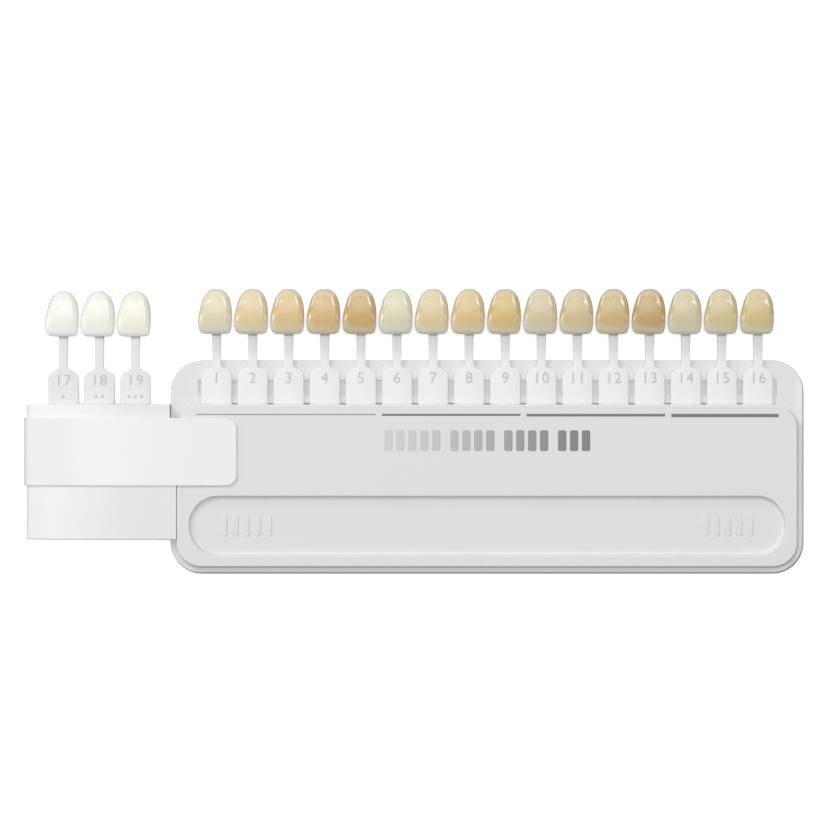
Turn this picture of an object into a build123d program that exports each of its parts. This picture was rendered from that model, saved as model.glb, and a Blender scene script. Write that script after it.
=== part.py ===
from build123d import *
import os

# Dental shade guide, lying on its back. A flat holder of two plastic shells grips sixteen
# shade tabs by their handles, and each tab carries one tooth sample on a narrow stem.
# An add-on holder with three bleached shades is clipped over the left end by a bent band.
# +X runs along the row of tabs, +Y towards the teeth, +Z out of the front panel.
# The origin is the centre of the holder's back face. Sizes are in millimetres.

# Row of tabs: the samples set the pitch, and the row sets the holder's length
tab_count = 16
group_counts = [5, 4, 4, 3]
tooth_width = 8.86
tooth_length = 12.05
tooth_gap = 0.54
row_end_margin = 12.0

# Holder: the rear shell's flange shows as a rim round the front panel
holder_height = 55.6
holder_corner = 8.1
rim = 1.7
back_box_depth = 2.4
flange_thickness = 2.2
panel_thickness = 3.2
panel_top_gap = 11.5
shell_wall = 1.8
back_wall = 1.4
edge_round = 0.45
back_round = 0.6

# Shallow trough behind the tab handles, and the slot under the panel's top edge
trough_end_margin = 7.1
trough_low_gap = 2.35
trough_height = 4.05
trough_depth = 0.8
slot_reach = 0.3
slot_depth = 1.5
slot_width = 1.5

# Finger groove along the front panel, with raised grip ribs near its ends
groove_end_margin = 3.2
groove_height = 15.4
groove_offset = 10.85
groove_depth = 1.3
groove_cove = 1.0
groove_lip = 0.25
groove_floor_wall = 1.4
grip_rib_count = 5
grip_rib_pitch = 2.9
grip_rib_width = 1.3
grip_rib_height = 5.4
grip_rib_rise = 0.3
grip_rib_round = 0.12
grip_rib_inset = 15.0

# Printed marks: one bar over each group of tabs, and a legend of small blocks
print_depth = 0.1
print_top_gap = 2.45
bar_side_gap = 0.8
bar_end_reach = 1.3
bar_heights = [0.35, 0.55, 0.7, 0.9]
legend_block_width = 2.2
legend_block_height = 5.4
legend_block_pitch = 3.1
legend_group_gap = 1.6
legend_round = 0.5
legend_drop = 7.0

# Snap pegs that join the two shells, and stiffening ribs between them
peg_radius = 1.5
peg_clearance = 0.05
peg_wall = 1.6
peg_count = 4
peg_end_inset = 16.5
peg_row_gap = 2.8
stiffener_width = 1.2

# Tab: a crowned handle with sloping shoulders under a narrow stem
handle_gap = 1.5
handle_hidden = 12.0
handle_visible = 8.85
shoulder_drop = 1.07
shoulder_round = 1.3
shoulder_fillet = 0.5
heel_chamfer = 0.9
stem_width = 2.3
stem_length = 8.35
stem_seat = 6.4
tab_thickness = 1.6
handle_crown = 0.3
tab_side_clearance = 0.12
tab_bed_clearance = 0.05
tab_top_clearance = 0.1
tab_end_clearance = 0.3

# Tooth sample: an upper central incisor crown, neck end away from the holder.
# Each station gives its height over the biting edge as a share of the length, its reach to
# the left and right as a share of the width, how far it stands before and behind the tab's
# front face, and how square its front is: 2 is an ellipse, more is flatter.
tooth_stations = [
    (0.0, 0.333, 0.293, 0.95, -0.22, 2.4),
    (0.037, 0.445, 0.383, 1.35, 0.0, 2.6),
    (0.091, 0.504, 0.42, 1.75, 0.15, 2.9),
    (0.183, 0.54, 0.448, 2.1, 0.45, 3.0),
    (0.315, 0.54, 0.456, 2.5, 0.95, 2.9),
    (0.465, 0.508, 0.457, 2.75, 1.55, 2.7),
    (0.614, 0.461, 0.433, 2.85, 2.0, 2.45),
    (0.73, 0.417, 0.386, 2.75, 2.2, 2.25),
    (0.797, 0.381, 0.352, 2.5, 2.2, 2.15),
    (0.871, 0.322, 0.299, 2.15, 2.0, 2.1),
    (0.938, 0.232, 0.212, 1.6, 1.6, 2.0),
    (0.979, 0.147, 0.13, 0.9, 1.15, 2.0),
]
tooth_side_points = 14
back_squareness = 2.1
stem_slot_clearance = 0.04

# Add-on holder for the bleached shades
bleach_count = 3
bleach_offset = 0.6
bleach_drop = 0.6
addon_length = 39.2
addon_fit = 0.1
addon_back = 0.8
addon_bottom_rise = 7.2
addon_top_rise = 0.05
addon_flat = 17.8
addon_bend_radius = 32.0
addon_nose_height = 3.9
addon_nose_radius = 1.7
addon_wall = 1.6
addon_split = 2.8
addon_round = 0.4

# Bent band that clips the add-on holder to the left end
band_thickness = 0.7
band_top_gap = 3.45
band_height = 17.7
band_tip = 17.3
band_corner = 2.8
band_round = 0.2
band_pocket_clearance = 0.25
band_pocket_end = 0.8

# Worked-out places
cut_past = 1.0
match_distance = 0.001
tab_pitch = tooth_width + tooth_gap
handle_width = tab_pitch - handle_gap
row_length = tab_pitch * (tab_count - 1)
holder_length = row_length + 2 * row_end_margin
clear_of_all = 2 * (holder_length + addon_length)
trough_half_length = holder_length / 2 - trough_end_margin
flange_z = back_box_depth
bed_z = back_box_depth + flange_thickness
panel_z = bed_z + panel_thickness
panel_half_length = holder_length / 2 - rim
panel_top = holder_height / 2 - panel_top_gap
panel_low = -holder_height / 2 + rim
panel_corner = holder_corner - rim
tab_z = bed_z + tab_bed_clearance
tab_bottom = panel_top - handle_hidden
shoulder_y = panel_top + handle_visible
stem_root_y = shoulder_y + shoulder_drop
tooth_y = stem_root_y + stem_length
socket_bottom = tab_bottom - tab_end_clearance
socket_top_z = tab_z + tab_thickness + tab_top_clearance
groove_half_length = panel_half_length - groove_end_margin
groove_y = panel_low + groove_offset
grip_rib_place = groove_half_length - grip_rib_inset
hollow_top = socket_bottom - shell_wall
under_groove_z = panel_z - groove_depth - groove_floor_wall
first_tab_x = -row_length / 2
addon_right = -panel_half_length - addon_fit
addon_left = addon_right - addon_length
addon_edge = -holder_length / 2 - addon_fit
addon_front = panel_z + addon_fit
addon_top = panel_top + addon_top_rise
addon_bottom = panel_low + addon_bottom_rise
bleach_tab_z = addon_split + tab_bed_clearance
bleach_top_z = bleach_tab_z + tab_thickness + tab_top_clearance
bleach_middle_x = addon_right - addon_length / 2 - bleach_offset
bleach_first_x = bleach_middle_x - tab_pitch * (bleach_count - 1) / 2
band_low = panel_top - band_top_gap - band_height
band_tip_x = -holder_length / 2 + band_tip


def tab_x(index):
    """Centre of a tab in the main row."""
    return first_tab_x + tab_pitch * index


def bleach_x(index):
    """Centre of a tab in the add-on holder."""
    return bleach_first_x + tab_pitch * index


def block(x0, x1, y0, y1, z0, z1):
    """Box between two corners."""
    size = Box(x1 - x0, y1 - y0, z1 - z0)
    return Pos((x0 + x1) / 2, (y0 + y1) / 2, (z0 + z1) / 2) * size


def plate(x0, x1, y0, y1, z0, z1, corner):
    """Flat plate with rounded corners."""
    outline = RectangleRounded(x1 - x0, y1 - y0, corner)
    face = Pos((x0 + x1) / 2, (y0 + y1) / 2, z0) * outline
    return extrude(face, amount=z1 - z0)


def peg_columns():
    """Places along the holder of the pegs, evenly spread between its ends."""
    span = holder_length - 2 * peg_end_inset
    return [span * (k / (peg_count - 1) - 0.5) for k in range(peg_count)]


def stiffener_columns():
    """Places of the stiffening ribs, halfway between the pegs."""
    columns = peg_columns()
    return [(left + right) / 2 for left, right in zip(columns, columns[1:])]


def peg_positions():
    """Centres of the snap pegs and their tops: along the bottom edge and under the sockets."""
    low_row = (panel_low + shell_wall + peg_row_gap, under_groove_z + groove_floor_wall / 2)
    high_row = (hollow_top - peg_row_gap, panel_z - shell_wall / 2)
    return [(x, y, top) for x in peg_columns() for y, top in (low_row, high_row)]


def sockets(centres, y0, y1, z0, z1):
    """Channels that take the tab handles."""
    half = handle_width / 2 + tab_side_clearance
    return [block(x - half, x + half, y0, y1, z0, z1) for x in centres]


def rear_shell():
    """Back half of the holder: back box, flange, tab bed and inner tray."""
    half_x = holder_length / 2
    half_y = holder_height / 2
    box = plate(-half_x + rim, half_x - rim, -half_y + rim, half_y - rim, 0, flange_z, panel_corner)
    box = fillet(box.faces().sort_by(Axis.Z)[0].edges(), back_round)
    flange = plate(-half_x, half_x, -half_y, half_y, flange_z, bed_z, holder_corner)
    flange = fillet(flange.faces().sort_by(Axis.Z)[-1].edges(), edge_round)
    shell = box + flange
    inner_x = panel_half_length - shell_wall
    tray = plate(-inner_x, inner_x, panel_low + shell_wall, hollow_top, back_wall, bed_z,
                 panel_corner - shell_wall)
    for x in stiffener_columns():
        tray -= block(x - stiffener_width / 2, x + stiffener_width / 2, panel_low, hollow_top,
                      back_wall, bed_z)
    for x, y, _ in peg_positions():
        tray -= Pos(x, y, back_wall) * extrude(Circle(peg_radius + peg_wall), amount=bed_z)
    shell -= tray
    for x, y, _ in peg_positions():
        hole = Circle(peg_radius + peg_clearance)
        shell -= Pos(x, y, back_wall) * extrude(hole, amount=bed_z)
    trough_low = panel_top + trough_low_gap
    shell -= block(-trough_half_length, trough_half_length, trough_low, trough_low + trough_height,
                   bed_z - trough_depth, bed_z + cut_past)
    slot_half = tab_x(tab_count - 1) + handle_width / 2
    shell -= block(-slot_half, slot_half, panel_top + slot_reach - slot_width,
                   panel_top + slot_reach, bed_z - slot_depth, bed_z + cut_past)
    shell -= block(-half_x, band_tip_x + band_pocket_end, band_low - band_pocket_clearance,
                   band_low + band_height + band_pocket_clearance, -cut_past,
                   addon_back + tab_bed_clearance)
    return shell


def groove_cutter():
    """Finger groove: a long round-ended dish with a coved floor."""
    stadium = SlotOverall(2 * groove_half_length, groove_height)
    dish = Pos(0, groove_y, panel_z - groove_depth) * extrude(stadium, amount=groove_depth + cut_past)
    return fillet(dish.faces().sort_by(Axis.Z)[0].edges(), groove_cove)


def grip_ribs():
    """Two rows of short raised ribs on the groove's floor."""
    floor_z = panel_z - groove_depth
    ribs = []
    for side in (-1, 1):
        for k in range(grip_rib_count):
            x = side * grip_rib_place + grip_rib_pitch * (k - (grip_rib_count - 1) / 2)
            rib = plate(x - grip_rib_width / 2, x + grip_rib_width / 2,
                        groove_y - grip_rib_height / 2, groove_y + grip_rib_height / 2,
                        floor_z, floor_z + grip_rib_rise, grip_rib_width * 0.45)
            ribs.append(fillet(rib.faces().sort_by(Axis.Z)[-1].edges(), grip_rib_round))
    return ribs


def front_panel(marks):
    """Front half of the holder, with the tab sockets open at its top edge."""
    panel = plate(-panel_half_length, panel_half_length, panel_low, panel_top, bed_z, panel_z,
                  panel_corner)
    panel = fillet(panel.faces().sort_by(Axis.Z)[-1].edges(), edge_round)
    inner_x = panel_half_length - shell_wall
    hollow = plate(-inner_x, inner_x, panel_low + shell_wall, hollow_top, bed_z, under_groove_z,
                   panel_corner - shell_wall)
    above_groove = groove_y + groove_height / 2 + shell_wall
    hollow += block(-inner_x + shell_wall, inner_x - shell_wall, above_groove, hollow_top,
                    bed_z, panel_z - shell_wall)
    panel -= hollow
    for x, y, top in peg_positions():
        peg = extrude(Circle(peg_radius), amount=top - back_wall - peg_clearance)
        panel += Pos(x, y, back_wall + peg_clearance) * peg
    centres = [tab_x(i) for i in range(tab_count)]
    panel -= sockets(centres, socket_bottom, panel_top + cut_past, bed_z - cut_past, socket_top_z)
    panel -= groove_cutter()
    lip = panel.edges().filter_by(on_groove_lip)
    panel = fillet(lip, groove_lip)
    panel += grip_ribs()
    panel -= marks
    return panel


def on_groove_lip(edge):
    """True for an edge of the groove's outline on the panel's front face."""
    box = edge.bounding_box()
    flat = abs(box.min.Z - panel_z) < match_distance and abs(box.max.Z - panel_z) < match_distance
    low = groove_y - groove_height / 2 - match_distance
    high = groove_y + groove_height / 2 + match_distance
    return flat and low <= box.min.Y and box.max.Y <= high


def printed_marks():
    """Bars over the four groups and the legend blocks, inlaid in the front face."""
    z0 = panel_z - print_depth
    top = panel_top - print_top_gap
    solids = []
    first = 0
    for size, height in zip(group_counts, bar_heights):
        left = tab_x(first) - tab_pitch / 2 + bar_side_gap
        right = tab_x(first + size - 1) + tab_pitch / 2 - bar_side_gap
        if first == 0:
            left -= bar_end_reach
        first += size
        if first == tab_count:
            right += bar_end_reach
        solids.append(block(left, right, top - height, top, z0, panel_z))
    blocks_wide = legend_block_pitch * (tab_count - 1) + legend_group_gap * (len(group_counts) - 1)
    x = -blocks_wide / 2
    y = top - legend_drop
    for size in group_counts:
        for _ in range(size):
            solids.append(plate(x - legend_block_width / 2, x + legend_block_width / 2,
                                y - legend_block_height / 2, y + legend_block_height / 2,
                                z0, panel_z, legend_round))
            x += legend_block_pitch
        x += legend_group_gap
    return solids


def tab():
    """Handle and stem in one piece, centred on its own stem, with its back at zero."""
    half_handle = handle_width / 2
    half_stem = stem_width / 2
    slope_end = shoulder_y - shoulder_fillet / 2
    points = [
        (-half_handle, tab_bottom), (half_handle, tab_bottom), (half_handle, slope_end),
        (half_stem, stem_root_y), (half_stem, tooth_y + stem_seat),
        (-half_stem, tooth_y + stem_seat), (-half_stem, stem_root_y), (-half_handle, slope_end),
    ]
    face = make_face(Polyline(points, close=True))
    corners = face.vertices()
    heel = corners.filter_by(lambda v: abs(v.Y - tab_bottom) < match_distance)
    face = chamfer(heel, heel_chamfer)
    shoulders = face.vertices().filter_by(lambda v: abs(v.Y - slope_end) < match_distance)
    face = fillet(shoulders, shoulder_round)
    roots = face.vertices().filter_by(lambda v: abs(v.Y - stem_root_y) < match_distance)
    face = fillet(roots, shoulder_fillet)
    body = extrude(face, amount=tab_thickness)
    radius = (half_handle ** 2 + handle_crown ** 2) / (2 * handle_crown)
    length = tooth_y + stem_seat - tab_bottom
    crown = Rot(X=90) * Cylinder(radius, 2 * length)
    return body & (Pos(0, tooth_y, tab_thickness - radius) * crown)


def tooth_section(station):
    """Closed outline of the crown at one distance from the biting edge."""
    height, left, right, front, back, square = station
    middle = (right - left) * tooth_width / 2
    half = (right + left) * tooth_width / 2
    top_z = tab_thickness + front
    low_z = tab_thickness - back
    centre_z = (top_z + low_z) / 2
    rise = (top_z - low_z) / 2
    points = []
    for k in range(tooth_side_points * 2):
        angle = 180 * k / tooth_side_points
        turn = Vector(1, 0).rotate(Axis.Z, angle)
        power = 2 / (square if turn.Y > 0 else back_squareness)
        x = middle + half * sign_power(turn.X, power)
        z = centre_z + rise * sign_power(turn.Y, power)
        points.append(Vector(x, tooth_y + height * tooth_length, z))
    return make_face(Spline(*points, periodic=True))


def sign_power(value, power):
    """Power of a number that keeps its sign."""
    size = abs(value) ** power
    return size if value >= 0 else -size


def tooth():
    """Crown lofted through its stations, with a slot in its back for the stem."""
    sections = [tooth_section(s) for s in tooth_stations]
    last = tooth_stations[-1]
    tip_z = tab_thickness + (last[3] - last[4]) / 2
    tip = Vertex(0, tooth_y + tooth_length, tip_z)
    crown = loft([*sections, tip])
    half = stem_width / 2 + stem_slot_clearance
    slot = block(-half, half, tooth_y - cut_past, tooth_y + stem_seat + stem_slot_clearance,
                 -clear_of_all, tab_thickness + stem_slot_clearance)
    return crown - slot


def addon_outline(right):
    """Section of the add-on holder, looking along Y, out to a chosen right end."""
    bend_x = addon_right - addon_flat
    points = [
        (right, addon_back), (right, addon_front), (bend_x, addon_front),
        (addon_left, addon_back + addon_nose_height), (addon_left, addon_back),
    ]
    face = make_face(Polyline(points, close=True))
    bend = face.vertices().filter_by(lambda v: abs(v.X - bend_x) < match_distance)
    face = fillet(bend, addon_bend_radius)
    ends = face.vertices().filter_by(lambda v: abs(v.X - addon_left) < match_distance)
    return fillet(ends, addon_nose_radius)


def stand_up(face, y0, y1):
    """Turns an X-Z section upright and gives it its length along Y."""
    solid = extrude(Rot(X=90) * face, amount=y1 - y0)
    return Pos(0, y1, 0) * solid


def addon_body():
    """Both shells of the add-on holder as one outer form, hollow and notched."""
    body = stand_up(addon_outline(addon_right), addon_bottom, addon_top)
    ends = body.faces().filter_by(Axis.Y).edges()
    outer = ends.filter_by(lambda e: e.bounding_box().min.X < addon_right - match_distance)
    body = fillet(outer, addon_round)
    inner = offset(addon_outline(addon_right), -addon_wall)
    hollow = stand_up(inner, addon_bottom + addon_wall, socket_bottom - bleach_drop - addon_wall)
    far = clear_of_all
    hollow -= block(addon_edge - addon_wall, 0, -far, far, -far, far)
    body -= hollow
    body -= block(addon_edge, 0, -far, far, flange_z - addon_fit, bed_z + addon_fit)
    corner_y = panel_top - panel_corner
    body -= block(addon_edge, 0, corner_y, far, -far, far)
    centres = [bleach_x(i) for i in range(bleach_count)]
    body -= sockets(centres, socket_bottom - bleach_drop, far, addon_split, bleach_top_z)
    return body


def addon_front_shell():
    """Front shell, which carries the sockets."""
    far = clear_of_all
    return addon_body() & block(-far, 0, -far, far, addon_split, far)


def addon_rear_shell():
    """Rear shell, which closes the sockets from behind."""
    far = clear_of_all
    return addon_body() & block(-far, 0, -far, far, -far, addon_split)


def clip_band():
    """Band bent round the add-on holder, with one tongue before and one behind the guide."""
    past = band_tip_x + 2 * band_tip
    inner = addon_outline(past)
    outer = offset(inner, band_thickness, kind=Kind.ARC)
    strip = outer - inner
    band = stand_up(strip, band_low, band_low + band_height)
    far = clear_of_all
    band -= block(band_tip_x, far, -far, far, -far, far)
    tips = band.edges().filter_by(Axis.Z)
    tips = tips.filter_by(lambda e: abs(e.center().X - band_tip_x) < match_distance)
    band = fillet(tips, band_corner)
    outline_edges = band.faces().filter_by(Axis.Y).edges()
    return fillet(outline_edges, band_round)


def main():
    os.makedirs("parts", exist_ok=True)
    marks = printed_marks()
    export_step(rear_shell(), "parts/rear_shell.step")
    export_step(front_panel(marks), "parts/front_panel.step")
    export_step(Compound(marks), "parts/printed_marks.step")
    one_tab = tab()
    one_tooth = tooth()
    for i in range(tab_count):
        place = Pos(tab_x(i), 0, tab_z)
        export_step(place * one_tab, f"parts/tab_{i + 1:02d}.step")
        export_step(place * one_tooth, f"parts/tooth_{i + 1:02d}.step")
    for i in range(bleach_count):
        place = Pos(bleach_x(i), -bleach_drop, bleach_tab_z)
        export_step(place * one_tab, f"parts/bleach_tab_{i + 1}.step")
        export_step(place * one_tooth, f"parts/bleach_tooth_{i + 1}.step")
    export_step(addon_front_shell(), "parts/addon_front_shell.step")
    export_step(addon_rear_shell(), "parts/addon_rear_shell.step")
    export_step(clip_band(), "parts/clip_band.step")


main()
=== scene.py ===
import math

import bmesh
import bpy
from mathutils import Matrix, Vector


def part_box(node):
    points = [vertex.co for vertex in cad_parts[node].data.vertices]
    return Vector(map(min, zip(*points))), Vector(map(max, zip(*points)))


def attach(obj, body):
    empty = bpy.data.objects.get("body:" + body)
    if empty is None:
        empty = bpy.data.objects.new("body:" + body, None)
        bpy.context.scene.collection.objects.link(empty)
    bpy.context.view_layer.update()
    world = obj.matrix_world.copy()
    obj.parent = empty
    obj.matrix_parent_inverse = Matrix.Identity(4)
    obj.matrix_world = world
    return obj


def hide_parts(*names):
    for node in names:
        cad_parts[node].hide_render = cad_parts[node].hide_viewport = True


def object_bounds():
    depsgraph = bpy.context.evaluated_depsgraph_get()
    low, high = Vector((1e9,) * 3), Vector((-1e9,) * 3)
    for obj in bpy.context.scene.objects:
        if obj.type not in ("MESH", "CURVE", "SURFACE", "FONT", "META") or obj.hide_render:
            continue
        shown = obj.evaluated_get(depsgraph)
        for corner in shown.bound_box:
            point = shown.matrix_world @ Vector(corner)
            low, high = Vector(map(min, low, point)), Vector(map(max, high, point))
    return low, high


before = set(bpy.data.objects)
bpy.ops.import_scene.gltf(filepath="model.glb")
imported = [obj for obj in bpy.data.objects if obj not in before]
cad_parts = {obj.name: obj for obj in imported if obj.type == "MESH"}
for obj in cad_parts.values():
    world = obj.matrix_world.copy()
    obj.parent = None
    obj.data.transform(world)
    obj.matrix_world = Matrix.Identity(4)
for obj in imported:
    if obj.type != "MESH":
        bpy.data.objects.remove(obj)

mm = 0.001
touch = 0.001 * mm  # places closer than this are the same
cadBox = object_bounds()
tabNames = ["%02d" % (i + 1) for i in range(16)]
bleachNames = ["1", "2", "3"]

# each group runs from its lightest sample to its darkest, as sRGB tones
shadeGroups = [
    {"count": 5, "light": (0.885, 0.855, 0.735), "dark": (0.80, 0.678, 0.46), "bend": (0.03, 0.0, -0.03)},
    {"count": 4, "light": (0.868, 0.85, 0.728), "dark": (0.845, 0.735, 0.50), "bend": (0.012, -0.012, -0.02)},
    {"count": 4, "light": (0.834, 0.776, 0.648), "dark": (0.772, 0.656, 0.448), "bend": (0.012, 0.02, 0.0)},
    {"count": 3, "light": (0.828, 0.782, 0.646), "dark": (0.826, 0.752, 0.55), "bend": (0.006, 0.0, -0.01)},
]
bleachGroup = {"count": 3, "light": (0.972, 0.966, 0.94), "dark": (0.972, 0.958, 0.90), "bend": (0, 0, 0)}


def toLinear(colour):
    return tuple(c / 12.92 if c <= 0.04045 else ((c + 0.055) / 1.055) ** 2.4 for c in colour)


def mixTone(a, b, share):
    return tuple(x + (y - x) * share for x, y in zip(a, b))


def groupTones(group):
    steps = max(group["count"] - 1, 1)
    tones = []
    for i in range(group["count"]):
        share = i / steps
        tone = mixTone(group["light"], group["dark"], share)
        bow = 4 * share * (1 - share)
        tones.append(tuple(c + b * bow for c, b in zip(tone, group["bend"])))
    return tones


def clearSelection():
    if bpy.context.object and bpy.context.object.mode != "OBJECT":
        bpy.ops.object.mode_set(mode="OBJECT")
    bpy.ops.object.select_all(action="DESELECT")


def makeActive(piece):
    clearSelection()
    piece.select_set(True)
    bpy.context.view_layer.objects.active = piece


def applyModifiers(piece):
    makeActive(piece)
    for name in [m.name for m in piece.modifiers]:
        bpy.ops.object.modifier_apply(modifier=name)


def selectWhere(piece, kind, test):
    # selects the vertices, edges or faces whose middle passes the test
    bpy.ops.mesh.select_mode(type=kind)
    bpy.ops.mesh.select_all(action="DESELECT")
    shape = bmesh.from_edit_mesh(piece.data)
    items = {"VERT": shape.verts, "EDGE": shape.edges, "FACE": shape.faces}[kind]
    for item in items:
        if kind == "VERT":
            chosen = test(item.co, item)
        elif kind == "EDGE":
            chosen = test((item.verts[0].co + item.verts[1].co) / 2, item)
        else:
            chosen = test(item.calc_center_median(), item)
        if chosen:
            item.select_set(True)
    shape.select_flush_mode()
    bmesh.update_edit_mesh(piece.data)


def copyAt(pattern, name, shift):
    piece = pattern.copy()
    piece.data = pattern.data.copy()
    piece.name = name
    piece.data.transform(Matrix.Translation(shift))
    bpy.context.collection.objects.link(piece)
    return piece


def smoothStep(low, high, value):
    t = min(max((value - low) / (high - low), 0.0), 1.0)
    return t * t * (3 - 2 * t)


# shared effects as node groups

def newGroup(name, inputs, outputs):
    group = bpy.data.node_groups.new(name, "ShaderNodeTree")
    for label, kind, value in inputs:
        socket = group.interface.new_socket(label, in_out="INPUT", socket_type=kind)
        if value is not None:
            socket.default_value = value
    for label, kind in outputs:
        group.interface.new_socket(label, in_out="OUTPUT", socket_type=kind)
    start = group.nodes.new("NodeGroupInput")
    end = group.nodes.new("NodeGroupOutput")
    start.location = (-900, 0)
    end.location = (700, 0)
    return group, start, end


def addMath(tree, operation, a, b=None, c=None, clamp=False):
    node = tree.nodes.new("ShaderNodeMath")
    node.operation = operation
    node.use_clamp = clamp
    for socket, value in zip(node.inputs, (a, b, c)):
        if value is None:
            continue
        if isinstance(value, (int, float)):
            socket.default_value = value
        else:
            tree.links.new(value, socket)
    return node.outputs[0]


def addRange(tree, value, low, high, top=1.0):
    node = tree.nodes.new("ShaderNodeMapRange")
    node.interpolation_type = "SMOOTHSTEP"
    for label, setting in (("From Min", low), ("From Max", high), ("To Max", top)):
        if isinstance(setting, (int, float)):
            node.inputs[label].default_value = setting
        else:
            tree.links.new(setting, node.inputs[label])
    tree.links.new(value, node.inputs["Value"])
    return node.outputs["Result"]


def addWindow(tree, value, span):
    # rises from the first to the second place and falls from the third to the last
    rise = addRange(tree, value, span[0], span[1])
    return addMath(tree, "MULTIPLY", rise, addMath(tree, "SUBTRACT", 1.0, addRange(tree, value, span[2], span[3])))


def addMix(tree, share, a, b):
    node = tree.nodes.new("ShaderNodeMix")
    node.data_type = "RGBA"
    for socket, value in ((node.inputs[0], share), (node.inputs[6], a), (node.inputs[7], b)):
        if isinstance(value, (int, float)):
            socket.default_value = value
        elif isinstance(value, tuple):
            socket.default_value = (*value, 1.0)
        else:
            tree.links.new(value, socket)
    return node.outputs[2]


def addDrift(tree, noise, amount):
    # noise that swings evenly to both sides of zero
    return addMath(tree, "MULTIPLY", addMath(tree, "SUBTRACT", noise, 0.5), amount)


def addNoise(tree, place, scale, detail):
    node = tree.nodes.new("ShaderNodeTexNoise")
    node.inputs["Scale"].default_value = scale
    node.inputs["Detail"].default_value = detail
    tree.links.new(place, node.inputs["Vector"])
    return node.outputs["Fac"]


mouldLook = {"driftScale": 35.0, "driftDetail": 2.0, "grainDetail": 2.0,
             "patchScale": 220.0, "patchDetail": 3.0, "patchShare": 0.12}


def mouldedPlasticGroup(look):
    # slow tone drift of a moulded wall, plus the fine spark-eroded grain of its tool; the Shading input lowers the
    # tone for painted shade and lifts it for painted light
    group, start, end = newGroup(
        "mouldedPlastic",
        [("Tone", "NodeSocketColor", (0.8, 0.8, 0.8, 1)), ("Drift", "NodeSocketFloat", 0.02),
         ("Grain Size", "NodeSocketFloat", 4000.0), ("Gloss", "NodeSocketFloat", 0.4),
         ("Shading", "NodeSocketFloat", 0.0)],
        [("Colour", "NodeSocketColor"), ("Roughness", "NodeSocketFloat"), ("Grain", "NodeSocketFloat")])
    place = group.nodes.new("ShaderNodeTexCoord").outputs["Object"]
    shift = addDrift(group, addNoise(group, place, look["driftScale"], look["driftDetail"]), start.outputs["Drift"])
    shade = group.nodes.new("ShaderNodeHueSaturation")
    lit = addMath(group, "SUBTRACT", addMath(group, "ADD", shift, 1.0), start.outputs["Shading"])
    group.links.new(lit, shade.inputs["Value"])
    group.links.new(start.outputs["Tone"], shade.inputs["Color"])
    fine = group.nodes.new("ShaderNodeTexNoise")
    fine.inputs["Detail"].default_value = look["grainDetail"]
    group.links.new(place, fine.inputs["Vector"])
    group.links.new(start.outputs["Grain Size"], fine.inputs["Scale"])
    patch = addDrift(group, addNoise(group, place, look["patchScale"], look["patchDetail"]), look["patchShare"])
    gloss = addMath(group, "ADD", start.outputs["Gloss"], patch)
    group.links.new(shade.outputs["Color"], end.inputs["Colour"])
    group.links.new(gloss, end.inputs["Roughness"])
    group.links.new(fine.outputs["Fac"], end.inputs["Grain"])
    return group


# heights run from 0 at the biting edge to 1 at the neck, widths from -1 to 1
enamelLook = {
    "cloudScale": 2.4, "cloudDetail": 3.0, "cloudWander": 0.22, "mottle": 0.10,
    "neckRise": (0.46, 0.66), "neckTone": (0.975, 0.965, 0.90), "neckMix": 0.12,
    "capRise": (0.76, 0.84), "capShare": 0.28, "capTone": (0.955, 0.945, 0.90),
    "lobeTurn": 9.0, "lobeReach": 0.012,
    "edgeHeight": 0.22, "edgeSideRise": 0.30, "edgeTurn": -0.07, "edgeStart": 0.35, "edgeMix": 0.5,
    "edgeStrength": 0.8, "shadeEdge": (0.85, 0.88, 0.90), "bleachEdge": (0.985, 0.987, 0.985),
    # the ridge line, glint windows and glint tone place the painted highlight lines
    "ridgeFoot": 1.075, "ridgeLean": 0.7, "ridgeFade": (0.01, 0.075),
    "upperGlint": (0.56, 0.66, 0.78, 0.86), "lowerGlint": (0.28, 0.36, 0.38, 0.48), "lowerShare": 0.6,
    "glintTone": (1.0, 0.97, 0.88), "glintStrength": 0.8,
    "gloss": 0.15, "glossDrift": 0.12, "ior": 1.55, "coat": 0.8, "coatRoughness": 0.045,
    "glow": 0.12, "glowScale": 0.8 * mm, "glowRadius": (1.0, 0.7, 0.45),
    "rippleScale": 7.0, "rippleBend": 3.5, "rippleDetail": 2.0, "rippleRise": (0.15, 0.6),
    "rippleDepth": 0.02 * mm, "rippleStrength": 0.35,
}


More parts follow.
